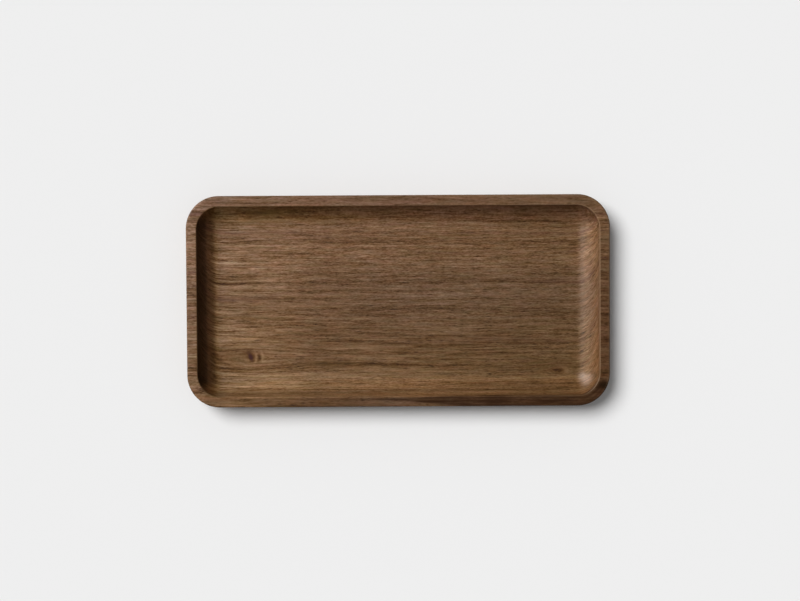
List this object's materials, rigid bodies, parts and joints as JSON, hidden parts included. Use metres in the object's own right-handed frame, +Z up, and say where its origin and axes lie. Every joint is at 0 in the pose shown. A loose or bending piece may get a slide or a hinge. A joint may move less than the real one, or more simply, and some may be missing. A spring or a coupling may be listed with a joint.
{
  "type": "pen tray",
  "caption": "Shallow rectangular desk tray milled from a walnut board, with a coved well for pens, rounded corners and rubber feet set into the underside.",
  "frame": {"origin": "on the desk, under the middle of the tray, at the level of the feet's soles", "axes": "+X along the tray's length and grain, +Y across it towards the rear, +Z up out of the well"},
  "size_m": [0.2, 0.1, 0.014],
  "materials": {
    "walnut": "satin oil",
    "foot_rubber": "matte",
    "adhesive_film": "matte"
  },
  "bodies": {
    "root": {"tray_body": "walnut", "foot_front_left": "foot_rubber", "foot_front_right": "foot_rubber", "foot_rear_left": "foot_rubber", "foot_rear_right": "foot_rubber", "adhesive_film_front_left": "adhesive_film", "adhesive_film_front_right": "adhesive_film", "adhesive_film_rear_left": "adhesive_film", "adhesive_film_rear_right": "adhesive_film"}
  },
  "joints": []
}
